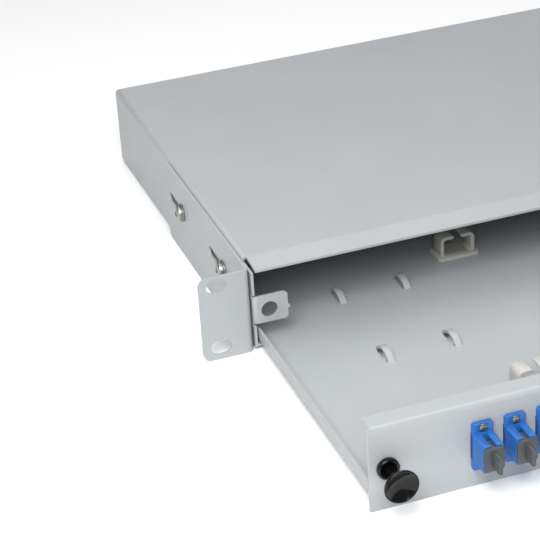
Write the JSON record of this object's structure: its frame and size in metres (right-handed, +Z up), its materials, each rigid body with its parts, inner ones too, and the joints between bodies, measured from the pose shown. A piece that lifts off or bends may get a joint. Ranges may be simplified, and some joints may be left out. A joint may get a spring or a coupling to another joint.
{
  "type": "fiber termination box",
  "caption": "Rack-mounted fiber termination box: sheet-steel casing with adjustable ears and a pull-out drawer for splice cassettes and connector adapters.",
  "frame": {"origin": "centre of the four rack slots, on the front face of the ears", "axes": "+X to the right across the rack, seen from the front; +Y into the rack; +Z up"},
  "size_m": [0.4826, 0.4039, 0.043],
  "materials": {
    "grey_paint": "light grey powder coat, satin with a fine texture",
    "zinc": "zinc plated",
    "yellow_brass": "turned brass",
    "black_nylon": "moulded nylon",
    "seal_rubber": "soft rubber",
    "gloss_black": "polished black moulding",
    "adapter_blue": "moulded blue plastic",
    "cap_grey": "soft moulded plastic",
    "ceramic": "white zirconia",
    "cassette_white": "moulded off-white ABS",
    "lid_clear": "clear polycarbonate",
    "comb_rubber": "foam rubber",
    "clip_nylon": "natural nylon"
  },
  "bodies": {
    "housing": {"housing_cover": "grey_paint", "housing_base": "grey_paint", "rear_rivets": "grey_paint", "slide_rail_left": "grey_paint", "slide_rail_right": "grey_paint", "ear_screws": "zinc", "ear_screw_washers": "zinc", "ear_clinch_nuts": "zinc", "gland_body_left": "black_nylon", "gland_dome_nut_left": "black_nylon", "gland_seal_left": "seal_rubber", "gland_locknut_left": "black_nylon", "gland_body_right": "black_nylon", "gland_dome_nut_right": "black_nylon", "gland_seal_right": "seal_rubber", "gland_locknut_right": "black_nylon", "blanking_plugs": "black_nylon", "plug_locknuts": "black_nylon", "earth_stud": "yellow_brass", "earth_nuts": "yellow_brass"},
    "drawer": {"drawer_tray": "grey_paint", "front_panel": "grey_paint", "panel_studs": "zinc", "panel_nuts": "zinc", "latch_grommet_left": "gloss_black", "latch_grommet_right": "gloss_black", "port_blanks": "black_nylon", "port_screws": "zinc", "port_nuts": "zinc", "dust_caps_front": "cap_grey", "dust_caps_rear": "cap_grey", "alignment_sleeves": "ceramic", "cassette_studs": "zinc", "cassette_lower": "cassette_white", "cassette_upper": "cassette_white", "cassette_lid": "lid_clear", "splice_combs_lower": "comb_rubber", "splice_combs_upper": "comb_rubber", "cassette_thumb_nuts": "black_nylon", "fibre_clips": "clip_nylon", "adapter_01": "adapter_blue", "adapter_02": "adapter_blue", "adapter_03": "adapter_blue", "adapter_04": "adapter_blue", "adapter_05": "adapter_blue", "adapter_06": "adapter_blue", "adapter_07": "adapter_blue", "adapter_08": "adapter_blue", "adapter_09": "adapter_blue", "adapter_10": "adapter_blue", "adapter_11": "adapter_blue", "adapter_12": "adapter_blue"},
    "rack_ear_left": {"rack_ear_left": "grey_paint"},
    "rack_ear_right": {"rack_ear_right": "grey_paint"},
    "latch_knob_left": {"latch_knob_left": "gloss_black"},
    "latch_knob_right": {"latch_knob_right": "gloss_black"}
  },
  "joints": [
    {"name": "drawer_slide", "type": "slide", "parent": "housing", "child": "drawer", "axis": [0, 1, 0], "range_m": [0, 0.139]},
    {"name": "latch_left_push", "type": "slide", "parent": "drawer", "child": "latch_knob_left", "axis": [0, 1, 0], "range_m": [0, 0.0085]},
    {"name": "latch_right_push", "type": "slide", "parent": "drawer", "child": "latch_knob_right", "axis": [0, 1, 0], "range_m": [0, 0.0085]},
    {"name": "ear_left_slide", "type": "slide", "parent": "housing", "child": "rack_ear_left", "axis": [0, -1, 0], "range_m": [0, 0.02]},
    {"name": "ear_right_slide", "type": "slide", "parent": "housing", "child": "rack_ear_right", "axis": [0, -1, 0], "range_m": [0, 0.02]}
  ]
}
